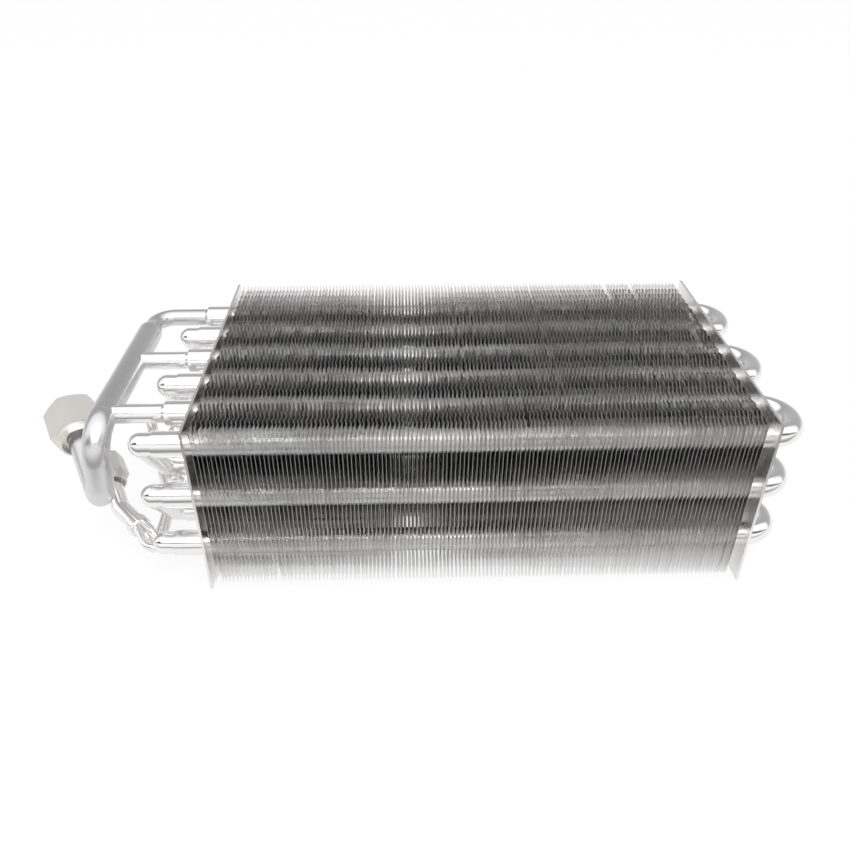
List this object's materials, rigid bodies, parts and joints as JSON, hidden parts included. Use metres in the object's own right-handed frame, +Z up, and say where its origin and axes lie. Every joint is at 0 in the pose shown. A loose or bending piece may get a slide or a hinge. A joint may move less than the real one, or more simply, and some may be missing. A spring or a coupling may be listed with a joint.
{
  "type": "evaporator core",
  "caption": "Plate-fin evaporator core with end plates, belled tube mouths, return bends, a bent suction manifold and a liquid distributor with feeder tubes; both lines end in union nuts.",
  "frame": {"origin": "middle of the left end plate's bottom edge, in the plane it stands on", "axes": "+X along the core tubes, from the end with the pipework to the hairpin end; +Y along the air flow, from the front face to the rear one; +Z up"},
  "size_m": [0.3219, 0.132, 0.08],
  "materials": {
    "end_plate": "bright sheet",
    "fin": "bright thin sheet",
    "tube": "bright drawn tube",
    "manifold": "satin drawn tube",
    "nut": "matt machined"
  },
  "bodies": {
    "root": {"left_end_plate": "end_plate", "right_end_plate": "end_plate", "fin_bank_1": "fin", "fin_bank_2": "fin", "fin_bank_3": "fin", "fin_bank_4": "fin", "fin_bank_5": "fin", "fin_bank_6": "fin", "fin_bank_7": "fin", "fin_bank_8": "fin", "hairpin_rear_top": "tube", "hairpin_rear_middle": "tube", "hairpin_rear_bottom": "tube", "hairpin_middle_top": "tube", "hairpin_middle_middle": "tube", "hairpin_middle_bottom": "tube", "hairpin_front_top": "tube", "hairpin_front_middle": "tube", "hairpin_front_bottom": "tube", "return_bend_rear_upper": "tube", "return_bend_rear_lower": "tube", "return_bend_middle_upper": "tube", "return_bend_middle_lower": "tube", "return_bend_front_upper": "tube", "return_bend_front_lower": "tube", "suction_manifold": "manifold", "suction_branch_middle": "tube", "suction_branch_front": "tube", "suction_nut": "nut", "liquid_pipe": "tube", "liquid_nut": "nut", "distributor": "tube", "inlet_reducer_rear": "tube", "inlet_reducer_middle": "tube", "inlet_reducer_front": "tube", "feeder_tube_rear": "tube", "feeder_tube_middle": "tube", "feeder_tube_front": "tube"}
  },
  "joints": []
}
